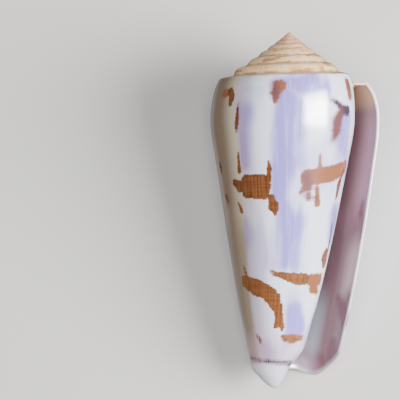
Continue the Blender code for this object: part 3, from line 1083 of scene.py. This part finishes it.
def shell_material(finish):
    n = Nodes("shell_surface")
    f = shell_fields(n)
    colour = marked_colour(n, f, finish, ground_colour(n, f, finish))
    colour = n.blended(n.attribute("spire"), colour, spire_colour(n, f, finish))
    colour = n.blended(n.attribute("mouth"), colour, mouth_colour(n, f, finish))
    n.feed(n.shader.inputs["Base Color"], colour)
    dullness = n.ranged(f.grain, *DULL_GRAIN_SHOWS, to_low=0.17, to_high=0.21)
    n.feed(n.shader.inputs["Roughness"], dullness)
    height = n.maths("MULTIPLY", f.spiral_threads, THREADS_IN_RELIEF)
    height = n.maths("MULTIPLY_ADD", f.growth_lines, LINES_IN_RELIEF, height)
    relief = n.bumped(height, RELIEF_STRENGTH, RELIEF_HEIGHT)
    n.feed(n.shader.inputs["Normal"], relief)
    n.shader.inputs["IOR"].default_value = 1.5
    n.shader.inputs["Coat Weight"].default_value = 0.15
    n.shader.inputs["Coat Roughness"].default_value = 0.15
    return n.material


def floor_material(stage):
    n = Nodes("stage_floor")
    coordinates = n.tree.nodes.new("ShaderNodeTexCoord").outputs["Object"]
    specks = n.noise(coordinates, scale=90.0, detail=4)
    paler = tuple(min(1.0, part * FLOOR_SPECK) for part in stage.floor_colour)
    n.feed(n.shader.inputs["Base Color"], n.blended(specks, stage.floor_colour, paler))
    dullness = n.ranged(specks, 0.3, 0.7, to_low=0.8, to_high=0.9)
    n.feed(n.shader.inputs["Roughness"], dullness)
    return n.material


# The operators


def add_object(name, bm, material):
    mesh = bpy.data.meshes.new(name)
    bm.to_mesh(mesh)
    bm.free()
    mesh.shade_smooth()
    mesh.materials.append(material)
    piece = bpy.data.objects.new(name, mesh)
    bpy.context.scene.collection.objects.link(piece)
    return piece


class CONE_OT_shell(bpy.types.Operator):
    """Build the shell's surface with its ridges, its lip and its markings"""

    bl_idname = "cone.shell"
    bl_label = "Build shell"

    def execute(self, context):
        finish = context.scene.shell_finish
        sheet = Sheet(finish)
        wind(sheet)
        lay_out_the_pattern(sheet)
        close_and_lay_down(sheet.bm)
        open_edges = sum(e.is_boundary for e in sheet.bm.edges)
        if open_edges:
            raise RuntimeError(f"the shell has {open_edges} open edges")
        piece = add_object("shell_surface", sheet.bm, shell_material(finish))
        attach(piece, "root")
        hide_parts("shell")
        return {"FINISHED"}


def out_of_the_opening():
    """The direction in which the opening faces, square to the shell's axis."""
    return Vector((0, -math.sin(TILT), math.cos(TILT)))


def towards_the_apex():
    return Vector((0, math.cos(TILT), math.sin(TILT)))


def axis_point(across, depth):
    """A point level with the axis, this far across towards the lip and this deep below the apex."""
    apex = Vector((AXIS_START_X, SHELL_HIGH.y, AXIS_START_Z))
    return apex + Vector((across, 0, 0)) - towards_the_apex() * depth


def facing(place_at, target):
    """A frame at a point that looks at the target with the apex upwards."""
    back = (place_at - target).normalized()
    side = towards_the_apex().cross(back).normalized()
    up = back.cross(side)
    matrix = Matrix((side, up, back)).transposed().to_4x4()
    matrix.translation = place_at
    return matrix


def add_light(name, sideways, upwards, away, width, height, power):
    """A soft light seen from the shell at these angles away from straight out of the opening."""
    target = axis_point(0, LENGTH / 2)
    lifted = Matrix.Rotation(math.radians(-upwards), 3, "X") @ out_of_the_opening()
    turned = Matrix.Rotation(math.radians(sideways), 3, towards_the_apex()) @ lifted
    data = bpy.data.lights.new(name, "AREA")
    data.shape = "RECTANGLE"
    data.size = width
    data.size_y = height
    data.energy = power
    lamp = bpy.data.objects.new(name, data)
    lamp.matrix_world = facing(target + turned * away, target)
    bpy.context.scene.collection.objects.link(lamp)
    return lamp


class CONE_OT_stage(bpy.types.Operator):
    """Build the floor, the soft lights and the camera"""

    bl_idname = "cone.stage"
    bl_label = "Build stage"

    def execute(self, context):
        stage = context.scene.shell_stage
        bm = bmesh.new()
        bmesh.ops.create_grid(bm, x_segments=1, y_segments=1, size=stage.floor_size / 2)
        floor = add_object("stage_floor", bm, floor_material(stage))
        floor.visible_glossy = False
        key = add_light(
            "key_light",
            sideways=50,
            upwards=-3,
            away=0.6,
            width=0.42,
            height=0.32,
            power=stage.key_power,
        )
        key.visible_glossy = False
        window = add_light(
            "window_light",
            sideways=51,
            upwards=5,
            away=0.6,
            width=0.44,
            height=0.24,
            power=stage.window_power,
        )
        window.visible_diffuse = False
        fill = add_light(
            "fill_light",
            sideways=-8,
            upwards=0,
            away=0.8,
            width=0.45,
            height=0.45,
            power=stage.fill_power,
        )
        fill.visible_glossy = False
        world = bpy.data.worlds.new("studio")
        world.use_nodes = True
        background = world.node_tree.nodes["Background"]
        background.inputs["Color"].default_value = (1, 1, 1, 1)
        background.inputs["Strength"].default_value = stage.sky
        context.scene.world = world
        target = axis_point(VIEW_ACROSS, VIEW_DEPTH)
        data = bpy.data.cameras.new("camera")
        data.sensor_fit = "HORIZONTAL"
        data.lens = stage.lens
        data.clip_start = 0.01
        data.clip_end = 20
        camera = bpy.data.objects.new("camera", data)
        away = stage.view_width * stage.lens / data.sensor_width
        camera.matrix_world = facing(target + out_of_the_opening() * away, target)
        context.scene.collection.objects.link(camera)
        context.scene.camera = camera
        return {"FINISHED"}


class CONE_PT_pieces(bpy.types.Panel):
    """Shows the settings of the shell and its stage, each with the button that builds it"""

    bl_idname = "CONE_PT_pieces"
    bl_label = "Governor cone shell"
    bl_space_type = "VIEW_3D"
    bl_region_type = "UI"
    bl_category = "Cone shell"

    def draw(self, context):
        for group, operator in (
            (context.scene.shell_finish, CONE_OT_shell),
            (context.scene.shell_stage, CONE_OT_stage),
        ):
            box = self.layout.box()
            for name in group.bl_rna.properties.keys():
                if name not in ("rna_type", "name"):
                    box.prop(group, name)
            box.operator(operator.bl_idname)


CLASSES = (ShellFinish, ShellStage, CONE_OT_shell, CONE_OT_stage, CONE_PT_pieces)


def register():
    for cls in CLASSES:
        bpy.utils.register_class(cls)
    bpy.types.Scene.shell_finish = bpy.props.PointerProperty(type=ShellFinish)
    bpy.types.Scene.shell_stage = bpy.props.PointerProperty(type=ShellStage)


def unregister():
    del bpy.types.Scene.shell_stage
    del bpy.types.Scene.shell_finish
    for cls in reversed(CLASSES):
        bpy.utils.unregister_class(cls)


def main():
    register()
    bpy.ops.cone.shell()
    bpy.ops.cone.stage()


if __name__ == "__main__":
    main()
